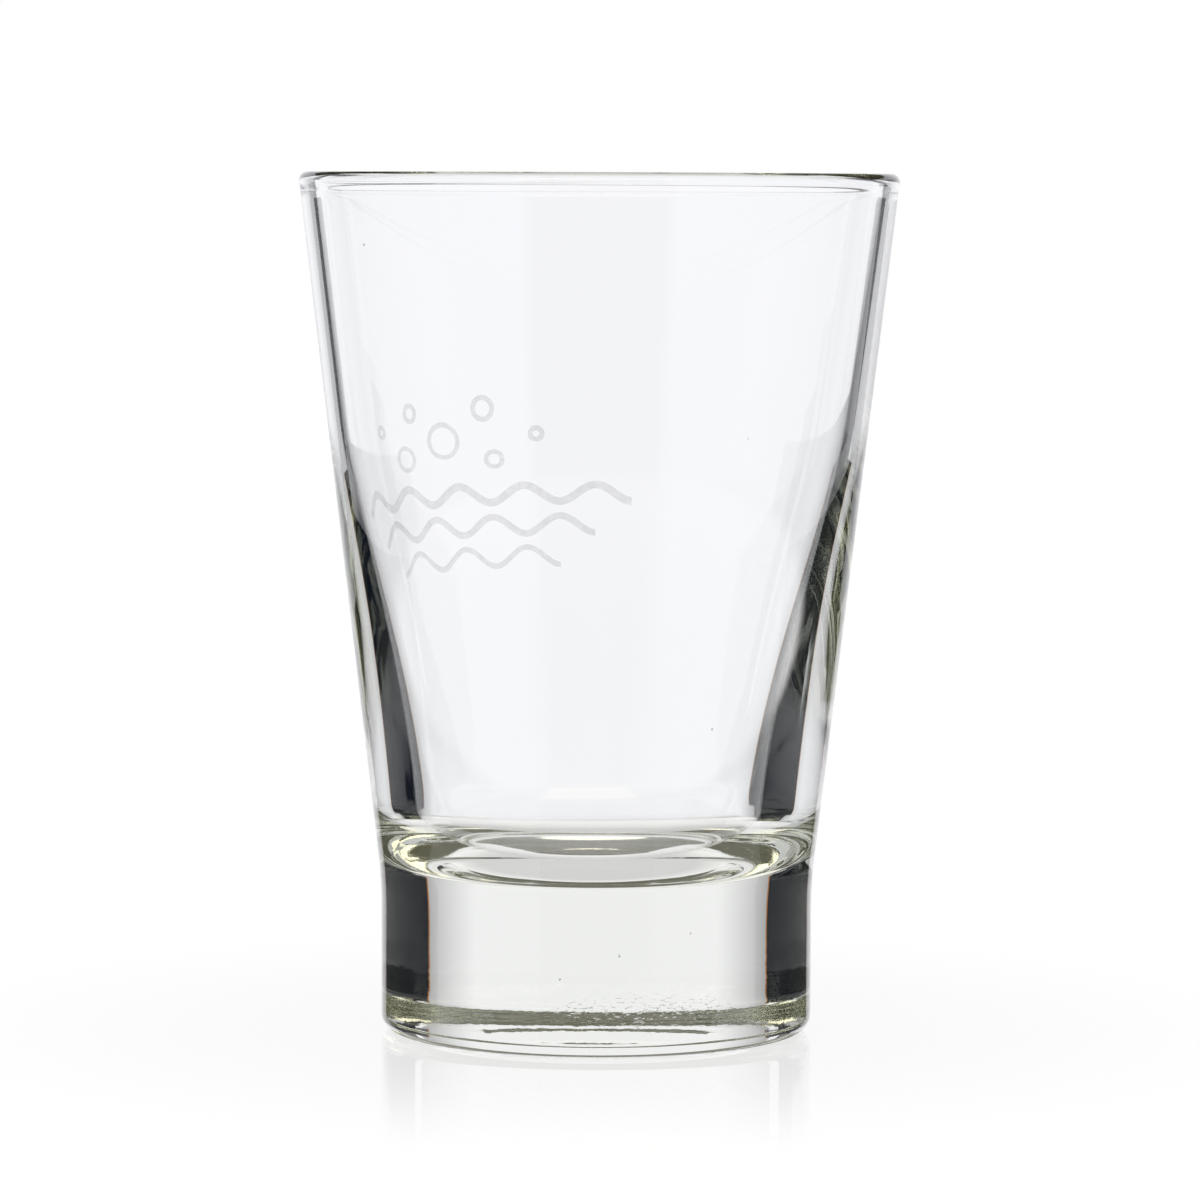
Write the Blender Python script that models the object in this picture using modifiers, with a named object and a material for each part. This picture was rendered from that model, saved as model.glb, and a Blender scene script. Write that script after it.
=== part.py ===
"""A heavy-footed conical water glass with a print fired on to the outside of its wall.

Run it with: blender --background --python part.py
Metres, +Z up. The origin is the middle of the face that the glass stands on, and the glass is seen from -Y.
The glass itself is one piece, turned about Z. Each stroke of the print is a thin film of enamel of its own.
"""

import math

import bmesh
import bpy

# Driving dimensions of the glass, in metres
GLASS_HEIGHT = 0.110
RIM_DIAMETER = 0.0767
FOOT_DIAMETER = 0.0554
FOOT_HEIGHT = 0.019  # the foot's straight side ends here and the wall starts to flare
FOOT_BLEND_RADIUS = 0.060  # the soft hollow between the foot's side and the wall
BASE_THICKNESS = 0.0206  # solid glass under the floor of the cavity
FLOOR_FILLET = 0.0105  # between the floor of the cavity and the wall
WALL_AT_RIM = 0.0020
WALL_TAPER = 0.018  # metres that the wall gains for each metre down from the rim
WALL_SWELL = 0.0031  # and this much more where it comes out of the fillet
SWELLS_BELOW = 0.078
HEEL_RADIUS = 0.0020  # round lower edge of the foot
RING_WIDTH = 0.0155  # flat ring that the glass stands on
PUNT_DEPTH = 0.0006  # shallow hollow under the foot, inside the ring

# Driving dimensions of the print, in metres and degrees
PRINT_HEIGHT = 0.067  # middle of the print, above the face that the glass stands on
PRINT_TURN = -36.0  # middle of the print, from the back (+Y) towards +X
ENAMEL_THICKNESS = 0.0002
ENAMEL_CLEARANCE = 0.0003  # between the film and the glass
WAVE_LENGTH = 0.0105  # crest to crest
WAVE_AMPLITUDE = 0.0013
BUBBLE_STROKE = 0.0007

# Waves: name, middle height in the print, number of crests, stroke width
WAVES = (
    ("print_wave_top", -0.0020, 5, 0.0012),
    ("print_wave_middle", -0.0068, 4, 0.0010),
    ("print_wave_bottom", -0.0114, 3, 0.0008),
)
# Bubbles: middle across and up in the print, outer diameter
BUBBLES = (
    (-0.0020, 0.0066, 0.0058),
    (-0.0098, 0.0040, 0.0042),
    (0.0062, 0.0036, 0.0032),
    (0.0048, 0.0112, 0.0036),
    (-0.0080, 0.0108, 0.0028),
    (0.0126, 0.0076, 0.0024),
    (-0.0152, 0.0084, 0.0022),
)

# How finely the round shapes are cut
SIDES = 72
LIP_STEPS = 8
WALL_STEPS = 12
FILLET_STEPS = 6
BLEND_STEPS = 4
HEEL_STEPS = 6
PUNT_STEPS = 5
STEPS_PER_WAVE = 12
BUBBLE_STEPS = 24
MERGE_DISTANCE = 0.00001


def clear_scene():
    for old in list(bpy.data.objects):
        bpy.data.objects.remove(old)


def new_collection(name):
    collection = bpy.data.collections.new(name)
    bpy.context.scene.collection.children.link(collection)
    return collection


def principled(name, colour, roughness, transmission):
    material = bpy.data.materials.new(name)
    material.use_nodes = True
    shader = material.node_tree.nodes["Principled BSDF"]
    shader.inputs["Base Color"].default_value = (*colour, 1.0)
    shader.inputs["Roughness"].default_value = roughness
    shader.inputs["Metallic"].default_value = 0.0
    shader.inputs["Transmission Weight"].default_value = transmission
    return material


def arc(centre, radius, start, end, steps):
    """Points (r, z) along a circle, from one angle to another, both ends included."""
    angles = [start + (end - start) * i / steps for i in range(steps + 1)]
    return [(centre[0] + radius * math.cos(a), centre[1] + radius * math.sin(a)) for a in angles]


# The wall: a straight cone outside, thickening towards the foot inside

FOOT_RADIUS = FOOT_DIAMETER / 2
LIP_RADIUS = WALL_AT_RIM / 2
LIP_CENTRE = (RIM_DIAMETER / 2 - LIP_RADIUS, GLASS_HEIGHT - LIP_RADIUS)


def wall_lean():
    """Angle between the wall's outer side and the vertical: a line from the foot that touches the lip's circle."""
    across = LIP_CENTRE[0] - FOOT_RADIUS
    up = LIP_CENTRE[1] - FOOT_HEIGHT
    return math.atan2(across, up) + math.asin(LIP_RADIUS / math.hypot(across, up))


LEAN = wall_lean()
LIP_INSIDE = LIP_CENTRE[1] + LIP_RADIUS * math.sin(LEAN)  # height where the lip meets the inner side


def outer_radius(z):
    return FOOT_RADIUS + max(0.0, z - FOOT_HEIGHT) * math.tan(LEAN)


FILLET_TOP = BASE_THICKNESS + FLOOR_FILLET * (1 - math.sin(LEAN))


def wall_thickness(z):
    """Grows evenly from the rim down, and swells towards the floor on top of that."""
    share = (SWELLS_BELOW - z) / (SWELLS_BELOW - FILLET_TOP)
    share = min(1.0, max(0.0, share))
    even = WALL_AT_RIM + WALL_TAPER * (GLASS_HEIGHT - z)
    return even + WALL_SWELL * share * share * (3 - 2 * share)


def inner_radius(z):
    return outer_radius(z) - wall_thickness(z) / math.cos(LEAN)


# The glass: one profile, up the inside, over the lip and down the outside


def inside_profile():
    fillet_centre = (
        inner_radius(FILLET_TOP) - FLOOR_FILLET * math.cos(LEAN),
        BASE_THICKNESS + FLOOR_FILLET,
    )
    points = [(0.0, BASE_THICKNESS)]
    points += arc(fillet_centre, FLOOR_FILLET, -math.pi / 2, -LEAN, FILLET_STEPS)
    for i in range(1, WALL_STEPS):
        z = FILLET_TOP + (LIP_INSIDE - FILLET_TOP) * i / WALL_STEPS
        points.append((inner_radius(z), z))
    return points


def outside_profile():
    blend_centre = (
        FOOT_RADIUS + FOOT_BLEND_RADIUS,
        FOOT_HEIGHT - FOOT_BLEND_RADIUS * math.tan(LEAN / 2),
    )
    heel_centre = (FOOT_RADIUS - HEEL_RADIUS, HEEL_RADIUS)
    points = arc(LIP_CENTRE, LIP_RADIUS, math.pi - LEAN, -LEAN, LIP_STEPS)
    points += arc(blend_centre, FOOT_BLEND_RADIUS, math.pi - LEAN, math.pi, BLEND_STEPS)
    points += arc(heel_centre, HEEL_RADIUS, 0.0, -math.pi / 2, HEEL_STEPS)
    return points


def underside_profile():
    """The hollow under the foot, from the inner edge of the ring to the middle, as part of a sphere."""
    reach = FOOT_RADIUS - HEEL_RADIUS - RING_WIDTH
    sphere = (reach**2 + PUNT_DEPTH**2) / (2 * PUNT_DEPTH)
    start = math.asin(reach / sphere)
    points = []
    for i in range(PUNT_STEPS + 1):
        angle = start * (1 - i / PUNT_STEPS)
        points.append((sphere * math.sin(angle), PUNT_DEPTH - sphere * (1 - math.cos(angle))))
    return points


def make_glass(collection, material):
    profile = inside_profile() + outside_profile() + underside_profile()
    mesh = bpy.data.meshes.new("glass_body")
    edges = [(i, i + 1) for i in range(len(profile) - 1)]
    mesh.from_pydata([(r, 0.0, z) for r, z in profile], edges, [])
    mesh.materials.append(material)
    glass = bpy.data.objects.new("glass_body", mesh)
    collection.objects.link(glass)
    turn = glass.modifiers.new("turn", "SCREW")
    turn.axis = "Z"
    turn.angle = 2 * math.pi
    turn.steps = SIDES
    turn.render_steps = SIDES
    turn.use_merge_vertices = True
    turn.merge_threshold = MERGE_DISTANCE
    turn.use_smooth_shade = True
    return glass


# The print: strokes drawn flat, across and up in metres, and laid round the wall


def on_wall(across, up):
    """The point of the film's inner side for a point of the flat print."""
    z = PRINT_HEIGHT + up * math.cos(LEAN)
    radius = outer_radius(z) + ENAMEL_CLEARANCE / math.cos(LEAN)
    turn = math.radians(PRINT_TURN) + across / outer_radius(PRINT_HEIGHT)
    return radius * math.sin(turn), radius * math.cos(turn), z


def wave_line(up, crests):
    """Middle line of a wave: the point and the way across the stroke at a share of its length."""
    length = crests * WAVE_LENGTH
    steepest = 2 * math.pi * WAVE_AMPLITUDE / WAVE_LENGTH

    def at(share):
        turn = 2 * math.pi * crests * share
        slope = steepest * math.sin(turn)
        norm = math.hypot(1.0, slope)
        point = (length * (share - 0.5), up - WAVE_AMPLITUDE * math.cos(turn))
        return point, (-slope / norm, 1.0 / norm)

    return at


def bubble_line(across, up, radius):
    """Middle line of a ring, run round against the clock so that its left side is its inside."""

    def at(share):
        turn = 2 * math.pi * share
        outward = (math.cos(turn), math.sin(turn))
        return (across + radius * outward[0], up + radius * outward[1]), (-outward[0], -outward[1])

    return at


def make_stroke(name, line, width, steps, collection, material, glass):
    """A flat strip along the line, laid on the wall and thickened outwards into a film."""
    strip = bmesh.new()
    bmesh.ops.create_grid(strip, x_segments=steps, y_segments=1, size=0.5)
    for vert in strip.verts:
        point, side = line(vert.co.x + 0.5)
        offset = vert.co.y * width
        vert.co = on_wall(point[0] + side[0] * offset, point[1] + side[1] * offset)
    bmesh.ops.remove_doubles(strip, verts=strip.verts, dist=MERGE_DISTANCE)
    mesh = bpy.data.meshes.new(name)
    strip.to_mesh(mesh)
    strip.free()
    mesh.materials.append(material)
    stroke = bpy.data.objects.new(name, mesh)
    collection.objects.link(stroke)
    stroke.parent = glass
    film = stroke.modifiers.new("film", "SOLIDIFY")
    film.thickness = ENAMEL_THICKNESS
    film.offset = -1.0
    return stroke


def make_print(collection, material, glass):
    for name, up, crests, width in WAVES:
        line = wave_line(up, crests)
        make_stroke(name, line, width, crests * STEPS_PER_WAVE, collection, material, glass)
    for number, (across, up, diameter) in enumerate(BUBBLES, start=1):
        line = bubble_line(across, up, (diameter - BUBBLE_STROKE) / 2)
        name = f"print_bubble_{number}"
        make_stroke(name, line, BUBBLE_STROKE, BUBBLE_STEPS, collection, material, glass)


def main():
    clear_scene()
    parts = new_collection("water_glass")
    clear_glass = principled("clear_glass", (0.97, 0.98, 0.95), 0.0, 1.0)
    white_enamel = principled("white_enamel", (0.86, 0.87, 0.88), 0.45, 0.0)
    glass = make_glass(parts, clear_glass)
    make_print(parts, white_enamel, glass)


main()
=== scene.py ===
# %% [markdown]
# # A heavy-footed water glass
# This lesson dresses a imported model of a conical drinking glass. Clear glass has no colour of its own,
# so nearly all that an eye sees of it is bent and mirrored surroundings. The work is therefore in three
# things: a profile that is right to a tenth of a millimetre, a set around it as a product photographer
# would build it, and the small faults that tell real glass from perfect glass.

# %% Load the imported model
import math

import bmesh
import bpy
from mathutils import Matrix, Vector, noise


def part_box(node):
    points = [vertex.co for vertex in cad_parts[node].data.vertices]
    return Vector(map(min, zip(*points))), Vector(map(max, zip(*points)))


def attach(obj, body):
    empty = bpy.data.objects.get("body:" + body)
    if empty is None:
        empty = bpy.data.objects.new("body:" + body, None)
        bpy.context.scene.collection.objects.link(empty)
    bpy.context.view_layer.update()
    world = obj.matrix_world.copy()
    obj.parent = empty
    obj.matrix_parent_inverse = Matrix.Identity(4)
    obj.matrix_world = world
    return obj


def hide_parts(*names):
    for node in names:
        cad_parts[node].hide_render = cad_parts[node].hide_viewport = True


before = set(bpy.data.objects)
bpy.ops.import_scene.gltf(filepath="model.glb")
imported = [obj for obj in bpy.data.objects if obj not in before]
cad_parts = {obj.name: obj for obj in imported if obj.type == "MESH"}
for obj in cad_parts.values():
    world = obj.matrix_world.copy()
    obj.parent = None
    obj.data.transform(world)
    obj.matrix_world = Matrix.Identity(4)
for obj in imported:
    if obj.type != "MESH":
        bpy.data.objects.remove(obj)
scene = bpy.context.scene
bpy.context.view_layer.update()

# %% [markdown]
# ## The camera
# The rim's far and near edges lie on one line in the photograph, so the lens is level with the rim. It
# stands well back, which keeps the view close to a plain side view. The distances were found by fitting
# the outline of the glass, and they are written as a lens and a place.

# %% Set up the camera
PHOTO_WIDTH = 1200  # pixels
FOCAL_LENGTH = 5606  # in the same pixels
SENSOR_WIDTH = 36.0  # mm
CAMERA_DISTANCE = 0.718  # from the axis of the glass
CAMERA_HEIGHT = 0.1086
CAMERA_SIDE = 0.0003
CAMERA_PITCH = math.radians(4.248)  # downwards
CAMERA_ROLL = math.radians(0.25)

camera = bpy.data.objects.new("camera", bpy.data.cameras.new("camera"))
scene.collection.objects.link(camera)
scene.camera = camera
camera.data.sensor_width = SENSOR_WIDTH
camera.data.lens = SENSOR_WIDTH * FOCAL_LENGTH / PHOTO_WIDTH
camera.matrix_world = (
    Matrix.Translation((CAMERA_SIDE, -CAMERA_DISTANCE, CAMERA_HEIGHT))
    @ Matrix.Rotation(math.pi / 2 - CAMERA_PITCH, 4, "X")
    @ Matrix.Rotation(CAMERA_ROLL, 4, "Z")
)
print("lens, mm:", round(camera.data.lens, 1))

# %% [markdown]
# ## The set
# A clear glass on white is photographed in a bright white tent with a black card standing at each side.
# The glass bends the cards into the dark lines that draw its edges: without them it would be white on
# white. The tent is the world. The camera sees it as plain white, and the glass sees it greyer, as the
# cloth of a tent is.

# %% Light the tent
TENT_COLOUR = (0.74, 0.745, 0.765)
LIGHT_BOUNCES = 40  # light crosses many faces before it leaves a solid foot

scene.view_settings.view_transform = "Standard"
scene.cycles.max_bounces = LIGHT_BOUNCES
scene.cycles.transmission_bounces = LIGHT_BOUNCES
scene.cycles.glossy_bounces = LIGHT_BOUNCES

tent = bpy.data.worlds.new("white_tent")
scene.world = tent
tent.use_nodes = True
tent_nodes = tent.node_tree.nodes
tent_links = tent.node_tree.links
tent_light = tent_nodes["Background"]
tent_light.inputs["Color"].default_value = (*TENT_COLOUR, 1.0)
plain_white = tent_nodes.new("ShaderNodeBackground")
plain_white.inputs["Color"].default_value = (1.0, 1.0, 1.0, 1.0)
tent_path = tent_nodes.new("ShaderNodeLightPath")
seen_or_lighting = tent_nodes.new("ShaderNodeMixShader")
tent_links.new(tent_path.outputs["Is Camera Ray"], seen_or_lighting.inputs["Fac"])
tent_links.new(tent_light.outputs["Background"], seen_or_lighting.inputs[1])
tent_links.new(plain_white.outputs["Background"], seen_or_lighting.inputs[2])
tent_links.new(seen_or_lighting.outputs["Shader"], tent_nodes["World Output"].inputs["Surface"])
print("tent:", TENT_COLOUR)

# %% [markdown]
# The rest of the set is flat cards, each giving off a set amount of light. Lamps and matt paper would
# be closer to a studio, but then a change to one would change them all. The cards stand on a turntable
# that takes only the camera's turn: the set goes round the glass with the camera, so the glass is drawn
# in the same way from every side, and it stays upright when the camera is raised. The camera itself
# sees only the white behind the cards.

# %% Set up the turntable
turntable = bpy.data.objects.new("turntable", None)
scene.collection.objects.link(turntable)
follow = turntable.constraints.new("COPY_ROTATION")
follow.target = camera
follow.use_x = False
follow.use_y = False


def glowing(name, colour):
    """A card that gives off a set amount of light whatever falls on it."""
    material = bpy.data.materials.new(name)
    material.use_nodes = True
    nodes = material.node_tree.nodes
    nodes.clear()
    glow = nodes.new("ShaderNodeEmission")
    glow.inputs["Color"].default_value = (*colour, 1.0)
    output = nodes.new("ShaderNodeOutputMaterial")
    material.node_tree.links.new(glow.outputs["Emission"], output.inputs["Surface"])
    return material


def on_plan(degrees, distance):
    """A point of the floor plan, by its angle from the back towards the right."""
    angle = math.radians(degrees)
    return math.sin(angle) * distance, math.cos(angle) * distance


def hang(name, corners, material):
    """A flat card with these corners, that goes round the glass with the camera."""
    mesh = bpy.data.meshes.new(name)
    mesh.from_pydata(corners, [], [(0, 1, 2, 3)])
    mesh.materials.append(material)
    card = bpy.data.objects.new(name, mesh)
    scene.collection.objects.link(card)
    card.parent = turntable
    card.visible_camera = False


def stand(name, start, end, low, high, material):
    """An upright card between two points of the floor plan."""
    hang(name, [(*start, low), (*end, low), (*end, high), (*start, high)], material)


print("turntable follows:", follow.target.name)

# %% [markdown]
# Each black card has three parts. The foot bends the low step into its black sides, and the tall part
# draws the dark lines in the wall. The wing carries on round the side, low and sloping, so that the
# upper wall doesn't mirror it. Real glass also splits light, which gives the black sides of the foot a
# thin orange edge. The renderer doesn't split light, so a glowing orange strip along each step paints
# that fringe of split light in.

# %% Hang the cards
CARD_DISTANCE = 0.20
CARD_FOOT = -0.30  # well below the table, so that no light slips under
BLACK_PAPER_COLOUR = (0.006, 0.008, 0.014)
# Painted light: the orange glow of the strips paints the coloured fringe that split light gives
FRINGE_GLOW_COLOUR = (0.40, 0.17, 0.05)
# Where each card starts and ends, in degrees from the back towards the right, and its height at both ends
CARDS = (
    ("step_left", -34.5, -41.0, 0.031, 0.031),
    ("card_left", -41.0, -50.0, 0.095, 0.095),
    ("wing_left", -50.0, -92.0, 0.042, 0.022),
    ("step_right", 33.3, 39.5, 0.031, 0.031),
    ("card_right", 39.5, 50.0, 0.095, 0.095),
    ("wing_right", 50.0, 92.0, 0.050, 0.024),
)
# Where each glowing fringe strip starts and ends, and its height
FRINGE_STRIPS = (("fringe_strip_left", -34.0, -34.5, 0.031), ("fringe_strip_right", 32.8, 33.3, 0.031))

black_paper = glowing("black_paper", BLACK_PAPER_COLOUR)
for name, start, end, start_top, end_top in CARDS:
    first, last = on_plan(start, CARD_DISTANCE), on_plan(end, CARD_DISTANCE)
    corners = [(*first, CARD_FOOT), (*last, CARD_FOOT), (*last, end_top), (*first, start_top)]
    hang(name, corners, black_paper)
# The orange strips glow to paint that fringe of split light along the steps
orange_fringe_glow = glowing("orange_fringe_glow", FRINGE_GLOW_COLOUR)
for name, start, end, top in FRINGE_STRIPS:
    stand(name, on_plan(start, CARD_DISTANCE), on_plan(end, CARD_DISTANCE), CARD_FOOT, top, orange_fringe_glow)
print("cards and fringe_strips:", len(CARDS) + len(FRINGE_STRIPS))

# %% [markdown]
# Beside each black card a sheet of tracing paper lets less and less of the backdrop through, which
# shades the foot softly from white to black. Real sheets in many layers would need many bounces of
# light. One glowing sheet, whose strength falls with the distance from the middle, stands in for them.

# %% Hang the tracing paper
BACKDROP_COLOUR = (0.985, 0.99, 1.02)
TRACING_DISTANCE = 0.45
TRACING_TOP = 0.18
TRACING_FIRST = {"left": -22.0, "right": 22.0}
TRACING_LAST = {"left": -40.0, "right": 40.0}
TRACING_DARKEST = 0.37

tracing_paper = glowing("tracing_paper", BACKDROP_COLOUR)
paper_nodes = tracing_paper.node_tree.nodes
paper_links = tracing_paper.node_tree.links
paper_place = paper_nodes.new("ShaderNodeTexCoord")
paper_split = paper_nodes.new("ShaderNodeSeparateXYZ")
paper_side = paper_nodes.new("ShaderNodeMath")
paper_side.operation = "ABSOLUTE"
paper_fall = paper_nodes.new("ShaderNodeMapRange")
paper_fall.inputs["From Min"].default_value = on_plan(TRACING_FIRST["right"], TRACING_DISTANCE)[0]
paper_fall.inputs["From Max"].default_value = on_plan(TRACING_LAST["right"], TRACING_DISTANCE)[0]
paper_fall.inputs["To Min"].default_value = 1.0
paper_fall.inputs["To Max"].default_value = TRACING_DARKEST
paper_links.new(paper_place.outputs["Object"], paper_split.inputs["Vector"])
paper_links.new(paper_split.outputs["X"], paper_side.inputs[0])
paper_links.new(paper_side.outputs["Value"], paper_fall.inputs["Value"])
paper_links.new(paper_fall.outputs["Result"], paper_nodes["Emission"].inputs["Strength"])
for side in ("left", "right"):
    first = on_plan(TRACING_FIRST[side], TRACING_DISTANCE)
    last = on_plan(TRACING_LAST[side], TRACING_DISTANCE)
    stand("tracing_" + side, first, last, CARD_FOOT, TRACING_TOP, tracing_paper)
print("material:", tracing_paper.name)

# %% [markdown]
# Behind the glass hangs a backdrop, the brightest part of the tent. The room behind the camera is
# dimmer, and it mirrors as a broad quiet strip down the middle of the wall. The ceiling is dark and
# warm: the foot shows it as the olive band above its heel. A warm softbox above the camera lights the
# swirls round the floor.

# %% Hang the backdrop, the room and the ceiling
BACKDROP_DISTANCE = 1.0
BACKDROP_HALF_WIDTH = 1.1
ROOM_COLOUR = (0.50, 0.50, 0.50)
ROOM_DISTANCE = 1.4
ROOM_HALF_WIDTH = 0.81
ROOM_TOP = 0.9
WALL_FOOT = -0.8
CEILING_COLOUR = (0.15, 0.145, 0.11)
CEILING_HEIGHT = 0.45
SOFTBOX_COLOUR = (2.0, 1.9, 1.5)
SOFTBOX_HALF_WIDTH = 0.45
SOFTBOX_NEAR = 0.50
SOFTBOX_FAR = 0.80
SOFTBOX_DROP = 0.07

for name, colour, half_width, distance, top in (
    ("backdrop", BACKDROP_COLOUR, BACKDROP_HALF_WIDTH, BACKDROP_DISTANCE, CEILING_HEIGHT),
    ("dim_room", ROOM_COLOUR, ROOM_HALF_WIDTH, -ROOM_DISTANCE, ROOM_TOP),
):
    left, right = (-half_width, distance), (half_width, distance)
    stand(name, left, right, WALL_FOOT, top, glowing(name, colour))
for name, colour, half_width, front, drop, back in (
    ("ceiling", CEILING_COLOUR, BACKDROP_HALF_WIDTH, -SOFTBOX_NEAR, 0.0, BACKDROP_DISTANCE),
    ("softbox", SOFTBOX_COLOUR, SOFTBOX_HALF_WIDTH, -SOFTBOX_FAR, SOFTBOX_DROP, -SOFTBOX_NEAR),
):
    low_edge = [(-half_width, front, CEILING_HEIGHT - drop), (half_width, front, CEILING_HEIGHT - drop)]
    high_edge = [(half_width, back, CEILING_HEIGHT), (-half_width, back, CEILING_HEIGHT)]
    hang(name, low_edge + high_edge, glowing(name, colour))

# %% [markdown]
# ## The table
# The table is glossy white. To the camera it is as white as the tent, with a faint soft shadow under
# the foot and a weak mirror image that fades in front of it. The world's light alone would leave it
# grey, so most of its white is a glow, and the small rest is paint that can fall into shadow.

# %% Mix the white that the camera sees
TABLE_WHITE = 0.985
TABLE_PAINT = (0.06, 0.06, 0.06)  # the part of its white that can fall into shadow
TABLE_MIRROR = 0.24  # strength of the mirror image at the foot
TABLE_GLOSS_ROUGHNESS = 0.05
MIRROR_STARTS = 0.026  # distances from the axis
MIRROR_ENDS = 0.105

table_top = bpy.data.materials.new("table_top")
table_top.use_nodes = True
table_nodes = table_top.node_tree.nodes
table_links = table_top.node_tree.links
table_nodes.clear()
table_place = table_nodes.new("ShaderNodeNewGeometry")
from_axis = table_nodes.new("ShaderNodeVectorMath")
from_axis.operation = "LENGTH"
fading = table_nodes.new("ShaderNodeMapRange")
fading.interpolation_type = "SMOOTHSTEP"
fading.inputs["From Min"].default_value = MIRROR_STARTS
fading.inputs["From Max"].default_value = MIRROR_ENDS
fading.inputs["To Min"].default_value = TABLE_MIRROR
fading.inputs["To Max"].default_value = 0.0
white_glow = table_nodes.new("ShaderNodeEmission")
white_glow.inputs["Strength"].default_value = TABLE_WHITE
white_paint = table_nodes.new("ShaderNodeBsdfDiffuse")
white_paint.inputs["Color"].default_value = (*TABLE_PAINT, 1.0)
lit_white = table_nodes.new("ShaderNodeAddShader")
faint_mirror = table_nodes.new("ShaderNodeBsdfGlossy")
faint_mirror.inputs["Roughness"].default_value = TABLE_GLOSS_ROUGHNESS
with_image = table_nodes.new("ShaderNodeMixShader")
table_links.new(table_place.outputs["Position"], from_axis.inputs[0])
table_links.new(from_axis.outputs["Value"], fading.inputs["Value"])
table_links.new(white_glow.outputs["Emission"], lit_white.inputs[0])
table_links.new(white_paint.outputs["BSDF"], lit_white.inputs[1])
table_links.new(fading.outputs["Result"], with_image.inputs["Fac"])
table_links.new(lit_white.outputs["Shader"], with_image.inputs[1])
table_links.new(faint_mirror.outputs["BSDF"], with_image.inputs[2])
print("material:", table_top.name)

# %% [markdown]
# The glass sees the same table at every slant. From above it finds white, with a painted shade straight
# down under the foot, where the glass stands over it. Along the surface it finds a mirror, as on anything
# glossy. A Principled material would do this by Fresnel, which turns to a mirror only slowly, so here
# Layer Weight switches between the two.

# %% Mix the white and the mirror that the glass sees
# Painted shade: seen from the glass, the table's glow is darker straight down under the foot, where the
# glass stands over it
TABLE_SHADED_BELOW = 0.72  # the white of the table as light from the glass meets it from above
TABLE_SLANTED = 0.97  # and where it meets it at a slant
WHITE_SLANT = (0.28, 0.50)  # slants are given as one less the sine of the slope
MIRROR_SLANT = (0.55, 0.585)  # white when steeper, a mirror when flatter
SLANT_BLEND = 0.5  # gives the slant as it is
SLANTED_ROUGHNESS = 0.08

slant = table_nodes.new("ShaderNodeLayerWeight")
slant.inputs["Blend"].default_value = SLANT_BLEND
shaded_white_share = table_nodes.new("ShaderNodeMapRange")
shaded_white_share.inputs["From Min"].default_value = WHITE_SLANT[0]
shaded_white_share.inputs["From Max"].default_value = WHITE_SLANT[1]
shaded_white_share.inputs["To Min"].default_value = TABLE_SHADED_BELOW
shaded_white_share.inputs["To Max"].default_value = TABLE_SLANTED
# This glow carries the painted shade under the foot, lifting to the plain white at a slant
white_glow_painted_shade = table_nodes.new("ShaderNodeEmission")
mirror_share = table_nodes.new("ShaderNodeMapRange")
mirror_share.interpolation_type = "SMOOTHSTEP"
mirror_share.inputs["From Min"].default_value = MIRROR_SLANT[0]
mirror_share.inputs["From Max"].default_value = MIRROR_SLANT[1]
full_mirror = table_nodes.new("ShaderNodeBsdfGlossy")
full_mirror.inputs["Roughness"].default_value = SLANTED_ROUGHNESS
full_mirror.inputs["Color"].default_value = (1.0, 1.0, 1.0, 1.0)
from_glass = table_nodes.new("ShaderNodeMixShader")
table_links.new(slant.outputs["Facing"], shaded_white_share.inputs["Value"])
table_links.new(slant.outputs["Facing"], mirror_share.inputs["Value"])
table_links.new(shaded_white_share.outputs["Result"], white_glow_painted_shade.inputs["Strength"])
table_links.new(mirror_share.outputs["Result"], from_glass.inputs["Fac"])
table_links.new(white_glow_painted_shade.outputs["Emission"], from_glass.inputs[1])
table_links.new(full_mirror.outputs["BSDF"], from_glass.inputs[2])
print("mirror from a slant of:", MIRROR_SLANT)

# %% [markdown]
# Light Path tells the camera's own rays from all others, so it chooses between the two. The table is
# one large plane, laid a tenth of a millimetre under the ring that the glass stands on, so that the two
# faces don't fight.

# %% Lay the table
TABLE_HALF = 3.0
TABLE_DROP = 0.0001

table_path = table_nodes.new("ShaderNodeLightPath")
seen_or_mirrored = table_nodes.new("ShaderNodeMixShader")
table_output = table_nodes.new("ShaderNodeOutputMaterial")
table_links.new(table_path.outputs["Is Camera Ray"], seen_or_mirrored.inputs["Fac"])
table_links.new(from_glass.outputs["Shader"], seen_or_mirrored.inputs[1])
table_links.new(with_image.outputs["Shader"], seen_or_mirrored.inputs[2])
table_links.new(seen_or_mirrored.outputs["Shader"], table_output.inputs["Surface"])

table_mesh = bpy.data.meshes.new("table")
table_plan = [(-1, -1), (1, -1), (1, 1), (-1, 1)]
table_corners = [(TABLE_HALF * x, TABLE_HALF * y, -TABLE_DROP) for x, y in table_plan]
table_mesh.from_pydata(table_corners, [], [(0, 1, 2, 3)])
table_mesh.materials.append(table_top)
table = bpy.data.objects.new("table", table_mesh)
scene.collection.objects.link(table)
print("table:", 2 * TABLE_HALF, "m square")

# %% [markdown]
# ## The profile of the glass
# A glass like this is pressed and blown in a turning mould, so one profile holds nearly all of its
# shape. A Screw modifier could turn it, but real glass isn't perfectly round: the cavity leans a little
# to one side, and its skin waves slightly. So the profile is written as functions of the height, and
# the mesh is laid ring by ring, where each ring may shift and wave.

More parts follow.
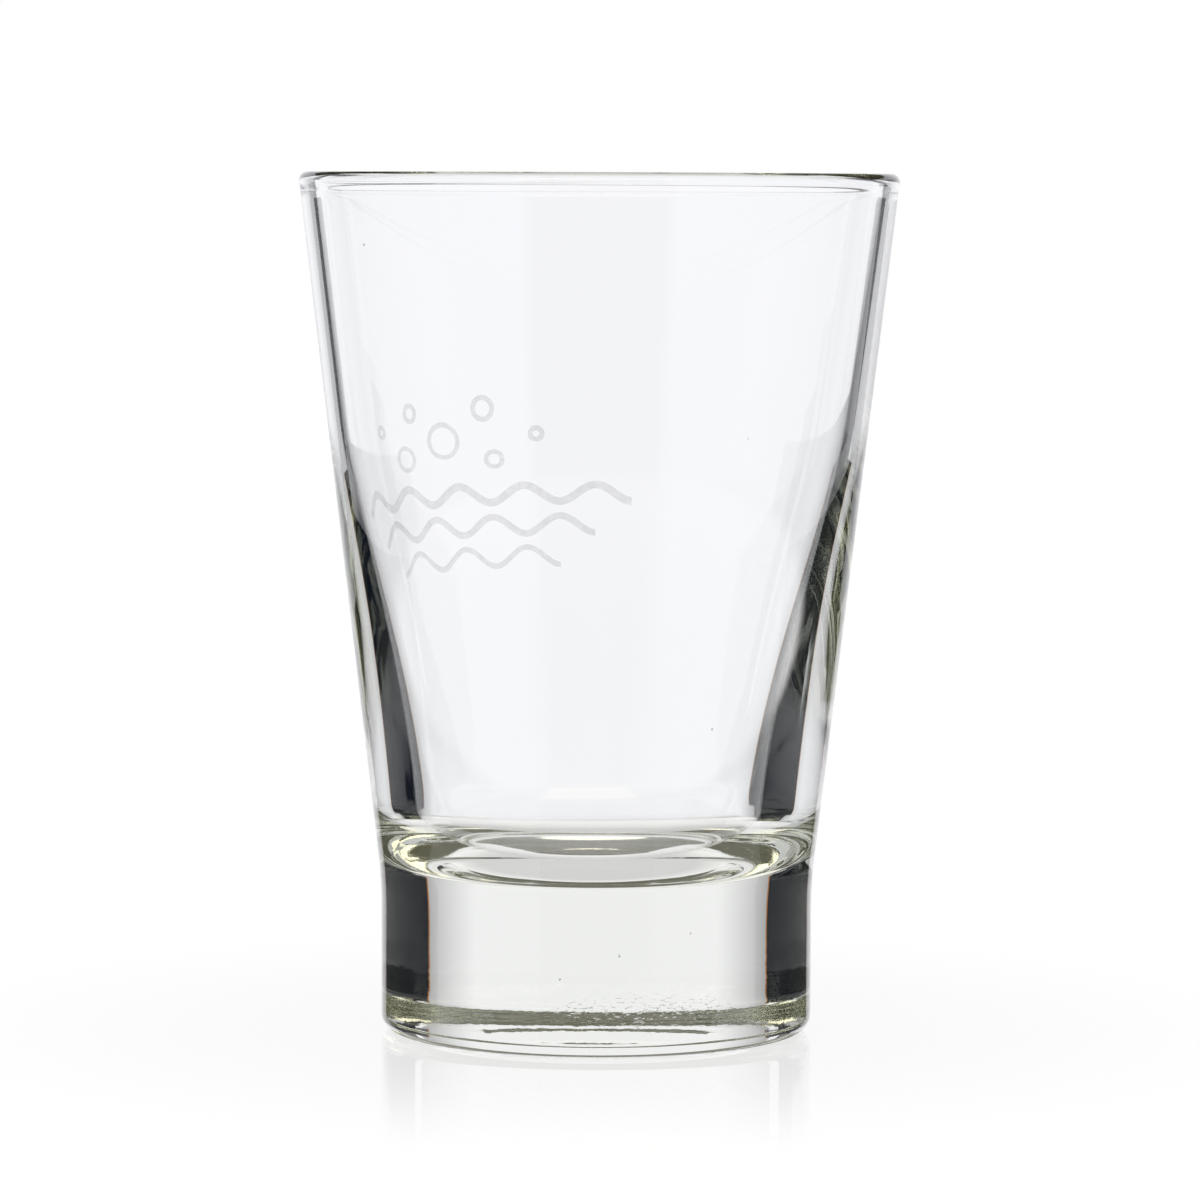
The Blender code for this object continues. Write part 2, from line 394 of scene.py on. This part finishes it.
# %% Measure the glass
glass_low, glass_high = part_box("glass_body")
GLASS_HEIGHT = glass_high.z - glass_low.z
RIM_RADIUS = (glass_high.x - glass_low.x) / 2
FOOT_RADIUS = 0.0277
FOOT_HEIGHT = 0.019
FOOT_BLEND_RADIUS = 0.060
BASE_THICKNESS = 0.0206
FLOOR_FILLET = 0.0105
WALL_AT_RIM = 0.0020
WALL_TAPER = 0.018  # the wall gains this share of the way down from the rim
WALL_SWELL = 0.0031  # and this much more towards the floor
SWELLS_BELOW = 0.078
HEEL_RADIUS = 0.0020
RING_WIDTH = 0.0155
PUNT_DEPTH = 0.0006
print("glass, mm:", round(1000 * GLASS_HEIGHT, 1), "high,", round(2000 * RIM_RADIUS, 1), "across the rim")

# %% [markdown]
# The rim is melted round by a flame after the mould opens. The melting draws the glass into a very low
# bead, a few hundredths of a millimetre proud of the wall, that ends in a soft crease 2.3 mm below the
# top. A bevel would round the edge but leave no bead, so the bead is a term of its own in both sides of
# the wall.

# %% Write the profile
LIP_HALF_HEIGHT = 0.0012
BEAD_HEIGHT = 0.0023
BEAD_OUTSIDE = 0.00003
BEAD_INSIDE = 0.00006

LIP_HALF_WIDTH = WALL_AT_RIM / 2
LIP_CENTRE = (RIM_RADIUS - LIP_HALF_WIDTH, GLASS_HEIGHT - LIP_HALF_HEIGHT)
LEAN = math.atan2(RIM_RADIUS - FOOT_RADIUS, LIP_CENTRE[1] - FOOT_HEIGHT)
FILLET_TOP = BASE_THICKNESS + FLOOR_FILLET * (1 - math.sin(LEAN))
BEAD_START = GLASS_HEIGHT - BEAD_HEIGHT


def bead(z):
    """Share of the bead's swelling at a height: nothing at the crease, all of it where the lip turns in."""
    share = min(1.0, max(0.0, (z - BEAD_START) / (LIP_CENTRE[1] - BEAD_START)))
    return math.sin(share * math.pi / 2)


def straight_side(z):
    """Radius of a plain cone over a straight foot, which both sides of the wall start from."""
    return FOOT_RADIUS + max(0.0, z - FOOT_HEIGHT) * math.tan(LEAN)


def wall_outside(z):
    return straight_side(z) - BEAD_OUTSIDE * (1 - bead(z))


def wall_thickness(z):
    """Grows evenly from the rim down, and swells towards the floor on top of that."""
    share = min(1.0, max(0.0, (SWELLS_BELOW - z) / (SWELLS_BELOW - FILLET_TOP)))
    even = WALL_AT_RIM + WALL_TAPER * (GLASS_HEIGHT - z)
    return even + WALL_SWELL * share * share * (3 - 2 * share)


def wall_inside(z):
    return straight_side(z) - wall_thickness(z) / math.cos(LEAN) + BEAD_INSIDE * (1 - bead(z))


def steps(start, end, count):
    """Evenly spaced values, both ends included."""
    return [start + (end - start) * i / count for i in range(count + 1)]


def round_corner(centre, radius, start, end, count):
    """Points along a circle, from one angle to another."""
    turns = steps(start, end, count)
    return [(centre[0] + radius * math.cos(a), centre[1] + radius * math.sin(a)) for a in turns]


print("lean of the wall, degrees:", round(math.degrees(LEAN), 2))

# %% [markdown]
# The profile is one chain of points: up the cavity from the middle of its floor, over the lip, down the
# wall and the foot, and back along the underside. A curve with a few handles would draw it too, but
# points from a formula can be set closer where the shape turns tightly, and glass shows every facet
# there.

# %% Trace the profile
FLOOR_RINGS = 8
FILLET_RINGS = 28
WALL_RINGS = 72
BEAD_RINGS = 10
LIP_RINGS = 24
BLEND_RINGS = 16
FOOT_RINGS = 8
HEEL_RINGS = 20
FLAT_RING_RINGS = 6
PUNT_RINGS = 14


def cavity_profile():
    """From the middle of the floor up to the lip."""
    centre = (wall_inside(FILLET_TOP) - FLOOR_FILLET * math.cos(LEAN), BASE_THICKNESS + FLOOR_FILLET)
    points = [(r, BASE_THICKNESS) for r in steps(0.0, centre[0], FLOOR_RINGS)[:-1]]
    points += round_corner(centre, FLOOR_FILLET, -math.pi / 2, -LEAN, FILLET_RINGS)
    points += [(wall_inside(z), z) for z in steps(FILLET_TOP, BEAD_START, WALL_RINGS)[1:]]
    points += [(wall_inside(z), z) for z in steps(BEAD_START, LIP_CENTRE[1], BEAD_RINGS)[1:-1]]
    return points


def lip_profile():
    """Over the lip, from the inside to the outside."""
    inner, outer = wall_inside(LIP_CENTRE[1]), wall_outside(LIP_CENTRE[1])
    middle, half = (inner + outer) / 2, (outer - inner) / 2
    turns = steps(math.pi, 0.0, LIP_RINGS)
    return [(middle + half * math.cos(a), LIP_CENTRE[1] + LIP_HALF_HEIGHT * math.sin(a)) for a in turns]


def outer_profile():
    """Down the wall and the foot to the middle of the underside."""
    blend_reach = FOOT_BLEND_RADIUS * math.tan(LEAN / 2)
    blend_centre = (FOOT_RADIUS - BEAD_OUTSIDE + FOOT_BLEND_RADIUS, FOOT_HEIGHT - blend_reach)
    heel_centre = (FOOT_RADIUS - BEAD_OUTSIDE - HEEL_RADIUS, HEEL_RADIUS)
    blend_top = blend_centre[1] + FOOT_BLEND_RADIUS * math.sin(LEAN)
    points = [(wall_outside(z), z) for z in steps(LIP_CENTRE[1], BEAD_START, BEAD_RINGS)[1:]]
    points += [(wall_outside(z), z) for z in steps(BEAD_START, blend_top, WALL_RINGS)[1:-1]]
    points += round_corner(blend_centre, FOOT_BLEND_RADIUS, math.pi - LEAN, math.pi, BLEND_RINGS)
    foot_side = heel_centre[0] + HEEL_RADIUS
    points += [(foot_side, z) for z in steps(blend_centre[1], HEEL_RADIUS, FOOT_RINGS)[1:-1]]
    points += round_corner(heel_centre, HEEL_RADIUS, 0.0, -math.pi / 2, HEEL_RINGS)
    hollow = heel_centre[0] - RING_WIDTH
    points += [(r, 0.0) for r in steps(heel_centre[0], hollow, FLAT_RING_RINGS)[1:-1]]
    points += [(r, PUNT_DEPTH * (1 - (r / hollow) ** 2)) for r in steps(hollow, 0.0, PUNT_RINGS)]
    return points


cavity = cavity_profile()
outside = lip_profile() + outer_profile()
print("profile points:", len(cavity) + len(outside))

# %% [markdown]
# ## Turning the glass
# Each point of the profile becomes a ring of the mesh. The plunger that pressed the cavity leant a
# little, so the rings of the cavity stray further to the left the deeper they lie, by about 0.8 mm at
# the floor, which makes the right wall the thicker one. They also wave by a few thousandths of a
# millimetre. At the lip both end, so that the rim is even.

# %% Turn the glass
SIDES = 300
CAVITY_LEAN = -0.0085  # sideways for each metre down from the rim
WAVE_DEPTH = 0.000004
WAVE_PATTERN = 3.0  # how many humps go round, roughly
WAVE_RISE = 45.0  # humps for each metre of height
WAVE_FADES_WITHIN = 0.03  # below the rim
WAVE_STARTS_WITHIN = 0.01  # from the axis
ON_AXIS = 1e-7  # a smaller radius is a point on the axis


def cavity_ring(r, z, angle):
    """A point of the cavity, off the middle and slightly waved."""
    fade = min(1.0, (GLASS_HEIGHT - z) / WAVE_FADES_WITHIN)
    wave = noise.noise((WAVE_PATTERN * math.cos(angle), WAVE_PATTERN * math.sin(angle), WAVE_RISE * z))
    waved = r + WAVE_DEPTH * wave * fade * min(1.0, r / WAVE_STARTS_WITHIN)
    return waved * math.cos(angle) + CAVITY_LEAN * (GLASS_HEIGHT - z), waved * math.sin(angle), z


def true_ring(r, z, angle):
    return r * math.cos(angle), r * math.sin(angle), z


def lay_rings(body, profile, place):
    """Rings of vertices for a profile. A point on the axis is one vertex."""
    rings = []
    for r, z in profile:
        count = 1 if r < ON_AXIS else SIDES
        rings.append([body.verts.new(place(r, z, 2 * math.pi * i / SIDES)) for i in range(count)])
    return rings


def join_rings(body, rings):
    """Faces between each ring and the next, facing out of the glass."""
    for first, second in zip(rings, rings[1:]):
        for i in range(SIDES):
            j = (i + 1) % SIDES
            if len(first) == 1:
                corners = (first[0], second[i], second[j])
            elif len(second) == 1:
                corners = (first[i], second[0], first[j])
            else:
                corners = (first[i], second[i], second[j], first[j])
            body.faces.new(corners).smooth = True


turned = bmesh.new()
join_rings(turned, lay_rings(turned, cavity, cavity_ring) + lay_rings(turned, outside, true_ring))
print("faces of the turned glass:", len(turned.faces))

# %% [markdown]
# ## Seeds
# Glassmakers call the tiny bubbles left in the melt seeds. A white dot on the surface would look like
# dirt. Each seed is a hole in the glass, so it is a small closed surface whose faces look inwards, part
# of the same mesh. They are drawn out a little along the wall.

# %% Add the seeds
# Height, angle from the back towards the right in degrees, depth from the outer side, size
SEEDS = (
    (0.1010, -128.0, 0.0010, 0.00022),
    (0.0412, 150.0, 0.0028, 0.00020),
    (0.0122, 172.0, 0.0090, 0.00026),
    (0.0088, -165.0, 0.0130, 0.00020),
    (0.0150, 150.0, 0.0060, 0.00018),
    (0.0740, 40.0, 0.0012, 0.00018),
)
SEED_STRETCH = 1.6
SEED_DETAIL = 2

for height, degrees, depth, size in SEEDS:
    x, y = on_plan(degrees, wall_outside(height) - depth)
    placed = Matrix.Translation((x, y, height)) @ Matrix.Diagonal((size, size, size * SEED_STRETCH, 1.0))
    made = bmesh.ops.create_icosphere(turned, subdivisions=SEED_DETAIL, radius=0.5, matrix=placed)
    seed_faces = {face for vert in made["verts"] for face in vert.link_faces}
    bmesh.ops.reverse_faces(turned, faces=list(seed_faces))
    for face in seed_faces:
        face.smooth = True
print("seeds:", len(SEEDS))

# %% [markdown]
# ## Two shared effects
# Two effects serve the glass and the enamel alike, so each is a node group with inputs of its own.
# Patches are soft irregular spots: smudges on the glass, thin places in the enamel. Ripples are a
# height in metres: the skin that a cold mould leaves on the glass, and the grain of the printing screen
# in the enamel.

# %% Build the patches
PATCH_DETAIL = 5.0


def shared_effect(name, inputs, output):
    """An empty node group with number inputs and one number output."""
    group = bpy.data.node_groups.new(name, "ShaderNodeTree")
    for label, value in inputs:
        socket = group.interface.new_socket(label, in_out="INPUT", socket_type="NodeSocketFloat")
        socket.default_value = value
    group.interface.new_socket(output, in_out="OUTPUT", socket_type="NodeSocketFloat")
    return group, group.nodes.new("NodeGroupInput"), group.nodes.new("NodeGroupOutput")


patches, patches_in, patches_out = shared_effect(
    "patches", (("Scale", 60.0), ("Start", 0.5), ("End", 0.7), ("Low", 0.0), ("High", 1.0)), "Amount"
)
patch_place = patches.nodes.new("ShaderNodeTexCoord")
patch_noise = patches.nodes.new("ShaderNodeTexNoise")
patch_noise.inputs["Detail"].default_value = PATCH_DETAIL
patch_range = patches.nodes.new("ShaderNodeMapRange")
patch_range.interpolation_type = "SMOOTHSTEP"
patches.links.new(patch_place.outputs["Object"], patch_noise.inputs["Vector"])
patches.links.new(patches_in.outputs["Scale"], patch_noise.inputs["Scale"])
patches.links.new(patch_noise.outputs["Fac"], patch_range.inputs["Value"])
for label, socket in (("Start", "From Min"), ("End", "From Max"), ("Low", "To Min"), ("High", "To Max")):
    patches.links.new(patches_in.outputs[label], patch_range.inputs[socket])
patches.links.new(patch_range.outputs["Result"], patches_out.inputs["Amount"])
print("group:", patches.name)

# %% Build the ripples
RIPPLE_DETAIL = 3.0

ripples, ripples_in, ripples_out = shared_effect(
    "ripples", (("Scale", 300.0), ("Depth", 0.000002), ("Bottom", 0.0), ("Top", 0.0)), "Height"
)
ripple_place = ripples.nodes.new("ShaderNodeTexCoord")
ripple_split = ripples.nodes.new("ShaderNodeSeparateXYZ")
ripple_noise = ripples.nodes.new("ShaderNodeTexNoise")
ripple_noise.inputs["Detail"].default_value = RIPPLE_DETAIL
ripple_fade = ripples.nodes.new("ShaderNodeMapRange")
ripple_fade.inputs["To Min"].default_value = 1.0
ripple_fade.inputs["To Max"].default_value = 0.0
ripple_depth = ripples.nodes.new("ShaderNodeMath")
ripple_depth.operation = "MULTIPLY"
ripple_height = ripples.nodes.new("ShaderNodeMath")
ripple_height.operation = "MULTIPLY"
ripples.links.new(ripple_place.outputs["Object"], ripple_noise.inputs["Vector"])
ripples.links.new(ripples_in.outputs["Scale"], ripple_noise.inputs["Scale"])
ripples.links.new(ripple_place.outputs["Object"], ripple_split.inputs["Vector"])
ripples.links.new(ripple_split.outputs["Z"], ripple_fade.inputs["Value"])
ripples.links.new(ripples_in.outputs["Bottom"], ripple_fade.inputs["From Min"])
ripples.links.new(ripples_in.outputs["Top"], ripple_fade.inputs["From Max"])
ripples.links.new(ripple_noise.outputs["Fac"], ripple_depth.inputs[0])
ripples.links.new(ripples_in.outputs["Depth"], ripple_depth.inputs[1])
ripples.links.new(ripple_depth.outputs["Value"], ripple_height.inputs[0])
ripples.links.new(ripple_fade.outputs["Result"], ripple_height.inputs[1])
ripples.links.new(ripple_height.outputs["Value"], ripples_out.inputs["Height"])
print("group:", ripples.name)

# %% [markdown]
# Low on its front the foot is scuffed, where it has knocked against other glasses in the rack. A scuff
# is a cluster of short shallow pits, far too small to model as faces. They are cut out of a stretched
# noise, only within an oval on the front of the foot, and taken off the height of the skin that they
# lie in.

# %% Build the scuffs
SCUFFS_BEFORE = -0.015  # only the glass nearer to the viewer than this is scuffed
SCUFF_SLANT = math.radians(35.0)
SCUFF_STRETCH = (0.45, 1.0, 1.6)
SCUFF_DETAIL = 3.0
PIT_STARTS = 0.58  # the noise where a pit starts, and where it is deepest
PIT_DEEPEST = 0.68

scuffs, scuffs_in, scuffs_out = shared_effect(
    "scuffs",
    (
        ("Skin", 0.0),
        ("Scale", 1500.0),
        ("Depth", 0.00002),
        ("Across", 0.0),
        ("Up", 0.0),
        ("Half Width", 0.01),
        ("Half Height", 0.01),
    ),
    "Height",
)


def scuff_step(operation, first, second):
    """One sum of the scuffs, from two sockets or numbers."""
    node = scuffs.nodes.new("ShaderNodeMath")
    node.operation = operation
    for place, value in enumerate((first, second)):
        if isinstance(value, float):
            node.inputs[place].default_value = value
        else:
            scuffs.links.new(value, node.inputs[place])
    return node.outputs["Value"]


scuff_place = scuffs.nodes.new("ShaderNodeTexCoord")
scuff_split = scuffs.nodes.new("ShaderNodeSeparateXYZ")
scuffs.links.new(scuff_place.outputs["Object"], scuff_split.inputs["Vector"])
from_middle = scuff_step("SUBTRACT", scuff_split.outputs["X"], scuffs_in.outputs["Across"])
across_share = scuff_step("DIVIDE", from_middle, scuffs_in.outputs["Half Width"])
from_height = scuff_step("SUBTRACT", scuff_split.outputs["Z"], scuffs_in.outputs["Up"])
up_share = scuff_step("DIVIDE", from_height, scuffs_in.outputs["Half Height"])
squares = scuff_step("ADD", scuff_step("POWER", across_share, 2.0), scuff_step("POWER", up_share, 2.0))
inside = scuff_step("MAXIMUM", scuff_step("SUBTRACT", 1.0, squares), 0.0)
in_front = scuff_step("LESS_THAN", scuff_split.outputs["Y"], SCUFFS_BEFORE)
scuff_area = scuff_step("MULTIPLY", inside, in_front)
scuff_turn = scuffs.nodes.new("ShaderNodeMapping")
scuff_turn.inputs["Rotation"].default_value = (0.0, SCUFF_SLANT, 0.0)
scuff_turn.inputs["Scale"].default_value = SCUFF_STRETCH
scuff_noise = scuffs.nodes.new("ShaderNodeTexNoise")
scuff_noise.inputs["Detail"].default_value = SCUFF_DETAIL
scuff_pits = scuffs.nodes.new("ShaderNodeMapRange")
scuff_pits.inputs["From Min"].default_value = PIT_STARTS
scuff_pits.inputs["From Max"].default_value = PIT_DEEPEST
scuffs.links.new(scuff_place.outputs["Object"], scuff_turn.inputs["Vector"])
scuffs.links.new(scuff_turn.outputs["Vector"], scuff_noise.inputs["Vector"])
scuffs.links.new(scuffs_in.outputs["Scale"], scuff_noise.inputs["Scale"])
scuffs.links.new(scuff_noise.outputs["Fac"], scuff_pits.inputs["Value"])
scuff_depth = scuff_step("MULTIPLY", scuff_pits.outputs["Result"], scuffs_in.outputs["Depth"])
scuff_cut = scuff_step("MULTIPLY", scuff_depth, scuff_area)
scuff_height = scuff_step("SUBTRACT", scuffs_in.outputs["Skin"], scuff_cut)
scuffs.links.new(scuff_height, scuffs_out.inputs["Height"])
print("group:", scuffs.name)

# %% [markdown]
# ## Clear glass
# Soda-lime glass bends light by 1.52 and is clear when thin. Traces of iron and of the decolouriser
# make it yellow-green where light runs through centimetres of it, so the tint is absorption inside the
# volume and not a surface colour. The skin is fire-polished, with faint smudges, and rippled only low
# on the foot, where the gather first touched the cold mould.

# %% Mix the clear glass
GLASS_TINT = (0.70, 0.725, 0.59)
GLASS_TINT_DENSITY = 6.2
GLASS_BENDING = 1.52


def place_group(material, group, **values):
    """Puts a shared effect into a material with values of its own."""
    node = material.node_tree.nodes.new("ShaderNodeGroup")
    node.node_tree = group
    for label, value in values.items():
        node.inputs[label].default_value = value
    return node


def add_relief(material, group_node):
    """Turns a height in metres into the relief of the surface."""
    relief = material.node_tree.nodes.new("ShaderNodeBump")
    relief.inputs["Strength"].default_value = 1.0
    relief.inputs["Distance"].default_value = 1.0
    shader = material.node_tree.nodes["Principled BSDF"]
    material.node_tree.links.new(group_node.outputs["Height"], relief.inputs["Height"])
    material.node_tree.links.new(relief.outputs["Normal"], shader.inputs["Normal"])


clear_glass = bpy.data.materials.new("clear_glass_polished")
clear_glass.use_nodes = True
glass_links = clear_glass.node_tree.links
glass_shader = clear_glass.node_tree.nodes["Principled BSDF"]
glass_shader.inputs["Base Color"].default_value = (1.0, 1.0, 1.0, 1.0)
glass_shader.inputs["Metallic"].default_value = 0.0
glass_shader.inputs["Transmission Weight"].default_value = 1.0
glass_shader.inputs["IOR"].default_value = GLASS_BENDING
smudges = place_group(clear_glass, patches, Scale=45.0, Start=0.58, End=0.75, Low=0.0, High=0.02)
glass_links.new(smudges.outputs["Amount"], glass_shader.inputs["Roughness"])
mould_skin = place_group(clear_glass, ripples, Scale=500.0, Depth=0.000012, Bottom=0.004, Top=0.012)
scuffing = place_group(clear_glass, scuffs, Scale=2200.0, Depth=0.00001, Across=0.006, Up=0.0068)
scuffing.inputs["Half Width"].default_value = 0.0125
scuffing.inputs["Half Height"].default_value = 0.003
glass_links.new(mould_skin.outputs["Height"], scuffing.inputs["Skin"])
add_relief(clear_glass, scuffing)
tint = clear_glass.node_tree.nodes.new("ShaderNodeVolumeAbsorption")
tint.inputs["Color"].default_value = (*GLASS_TINT, 1.0)
tint.inputs["Density"].default_value = GLASS_TINT_DENSITY
glass_links.new(tint.outputs["Volume"], clear_glass.node_tree.nodes["Material Output"].inputs["Volume"])
print("material:", clear_glass.name)

# %% [markdown]
# Foot, wall and rim come out of the mould as one gather, so the mesh is one piece, seeds and all. It
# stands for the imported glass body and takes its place.

# %% Finish the glass
glass_mesh = bpy.data.meshes.new("drinking_glass")
turned.to_mesh(glass_mesh)
turned.free()
glass_mesh.materials.append(clear_glass)
drinking_glass = bpy.data.objects.new("drinking_glass", glass_mesh)
scene.collection.objects.link(drinking_glass)
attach(drinking_glass, "root")
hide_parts("glass_body")
print("triangles of the glass:", sum(len(face.vertices) - 2 for face in glass_mesh.polygons))

# %% [markdown]
# ## The print
# A plain decoration of waves and bubbles is screen printed in white enamel on the outside of the wall
# and fired on. The film is a few hundredths of a millimetre thick and lets some light through. An image
# laid on the glass would be the quick way. Here each stroke is a closed film of its own with a rounded
# top, so that it has an edge. First come the lines that the strokes follow, drawn flat and laid round
# the wall.

# %% Draw the strokes
PRINT_HEIGHT = 0.067
PRINT_TURN = -36.0  # degrees from the back towards the right
WAVE_LENGTH = 0.0105
WAVE_AMPLITUDE = 0.0013
BUBBLE_STROKE = 0.0007
FILM_CLEARANCE = 0.00002
FILM_THICKNESS = 0.00003
STEPS_PER_WAVE = 28
BUBBLE_STEPS = 64
STEPS_ACROSS = 4

# Waves: CAD node, middle height in the print, number of crests, stroke width
WAVES = (
    ("print_wave_top", -0.0020, 5, 0.0012),
    ("print_wave_middle", -0.0068, 4, 0.0010),
    ("print_wave_bottom", -0.0114, 3, 0.0008),
)
# Bubbles: middle across and up in the print, outer diameter
BUBBLES = (
    (-0.0020, 0.0066, 0.0058),
    (-0.0098, 0.0040, 0.0042),
    (0.0062, 0.0036, 0.0032),
    (0.0048, 0.0112, 0.0036),
    (-0.0080, 0.0108, 0.0028),
    (0.0126, 0.0076, 0.0024),
    (-0.0152, 0.0084, 0.0022),
)


def on_wall(across, up, lift):
    """The place on the wall of a point of the flat print, lifted off the glass."""
    z = PRINT_HEIGHT + up * math.cos(LEAN)
    degrees = PRINT_TURN + math.degrees(across / wall_outside(PRINT_HEIGHT))
    return (*on_plan(degrees, wall_outside(z) + lift / math.cos(LEAN)), z)


def wave_line(up, crests):
    """Middle line of a wave: a point and the way across the stroke at a share of its length."""
    steepest = 2 * math.pi * WAVE_AMPLITUDE / WAVE_LENGTH

    def at(share):
        turn = 2 * math.pi * crests * share
        slope = steepest * math.sin(turn)
        norm = math.hypot(1.0, slope)
        point = (crests * WAVE_LENGTH * (share - 0.5), up - WAVE_AMPLITUDE * math.cos(turn))
        return point, (-slope / norm, 1.0 / norm)

    return at


def bubble_line(across, up, radius):
    """Middle line of a ring, run round against the clock."""

    def at(share):
        turn = 2 * math.pi * share
        outward = (math.cos(turn), math.sin(turn))
        return (across + radius * outward[0], up + radius * outward[1]), (-outward[0], -outward[1])

    return at


print("strokes to lay:", len(WAVES) + len(BUBBLES))

# %% [markdown]
# ## White enamel
# Glass enamel is powdered glass with a white pigment, melted on to the wall. It is satin, a little
# uneven in cover, and grained by the mesh of the screen. Transmission would let light through it too,
# but a thin film doesn't bend what is behind it, so Alpha does it, with the shared patches for its thin
# places.

# %% Mix the enamel
ENAMEL_COLOUR = (0.86, 0.87, 0.88)

white_enamel = bpy.data.materials.new("white_enamel_fired")
white_enamel.use_nodes = True
enamel_links = white_enamel.node_tree.links
enamel_shader = white_enamel.node_tree.nodes["Principled BSDF"]
enamel_shader.inputs["Base Color"].default_value = (*ENAMEL_COLOUR, 1.0)
enamel_shader.inputs["Metallic"].default_value = 0.0
gloss = place_group(white_enamel, patches, Scale=900.0, Start=0.3, End=0.7, Low=0.38, High=0.52)
cover = place_group(white_enamel, patches, Scale=1100.0, Start=0.3, End=0.7, Low=0.11, High=0.17)
enamel_links.new(gloss.outputs["Amount"], enamel_shader.inputs["Roughness"])
enamel_links.new(cover.outputs["Amount"], enamel_shader.inputs["Alpha"])
# The grain would fade from a height above the rim, so it is the same all over the print
screen_grain = place_group(white_enamel, ripples, Scale=4000.0, Depth=0.000004, Bottom=0.2, Top=0.3)
add_relief(white_enamel, screen_grain)
print("material:", white_enamel.name)

# %% [markdown]
# A stroke is laid as rows of points across its line: flat against the glass below, rounded above.
# Thickening a flat strip with a Solidify modifier would leave sharp edges. An open stroke is capped at
# both ends, and a ring runs back into its start.

# %% Lay the strokes
FILM_EDGE = 0.3  # share of the film's thickness at the edges of a stroke


def lay_stroke(node, line, width, count, closed):
    """A closed film along a line: flat against the glass, rounded on the outside."""
    film = bmesh.new()
    rows = []
    for i in range(count if closed else count + 1):
        point, side = line(i / count)
        row = []
        for level in (0.0, 1.0):
            for j in range(STEPS_ACROSS + 1):
                share = 2 * j / STEPS_ACROSS - 1
                crown = FILM_EDGE + (1 - FILM_EDGE) * (1 - share**4)
                lift = FILM_CLEARANCE + level * FILM_THICKNESS * crown
                place = (point[0] + side[0] * share * width / 2, point[1] + side[1] * share * width / 2)
                row.append(film.verts.new(on_wall(*place, lift)))
        lower, upper = row[: STEPS_ACROSS + 1], row[STEPS_ACROSS + 1 :]
        rows.append(lower + upper[::-1])
    pairs = list(zip(rows, rows[1:]))
    if closed:
        pairs.append((rows[-1], rows[0]))
    around = len(rows[0])
    for first, second in pairs:
        for j in range(around):
            k = (j + 1) % around
            film.faces.new((first[j], second[j], second[k], first[k])).smooth = True
    if not closed:
        film.faces.new(rows[0])
        film.faces.new(rows[-1][::-1])
    bmesh.ops.recalc_face_normals(film, faces=film.faces)
    mesh = bpy.data.meshes.new(node + "_film")
    film.to_mesh(mesh)
    film.free()
    mesh.materials.append(white_enamel)
    stroke = bpy.data.objects.new(node + "_film", mesh)
    scene.collection.objects.link(stroke)
    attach(stroke, "root")
    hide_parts(node)


for node, up, crests, width in WAVES:
    lay_stroke(node, wave_line(up, crests), width, crests * STEPS_PER_WAVE, False)
for number, (across, up, diameter) in enumerate(BUBBLES, start=1):
    ring = bubble_line(across, up, (diameter - BUBBLE_STROKE) / 2)
    lay_stroke(f"print_bubble_{number}", ring, BUBBLE_STROKE, BUBBLE_STEPS, True)
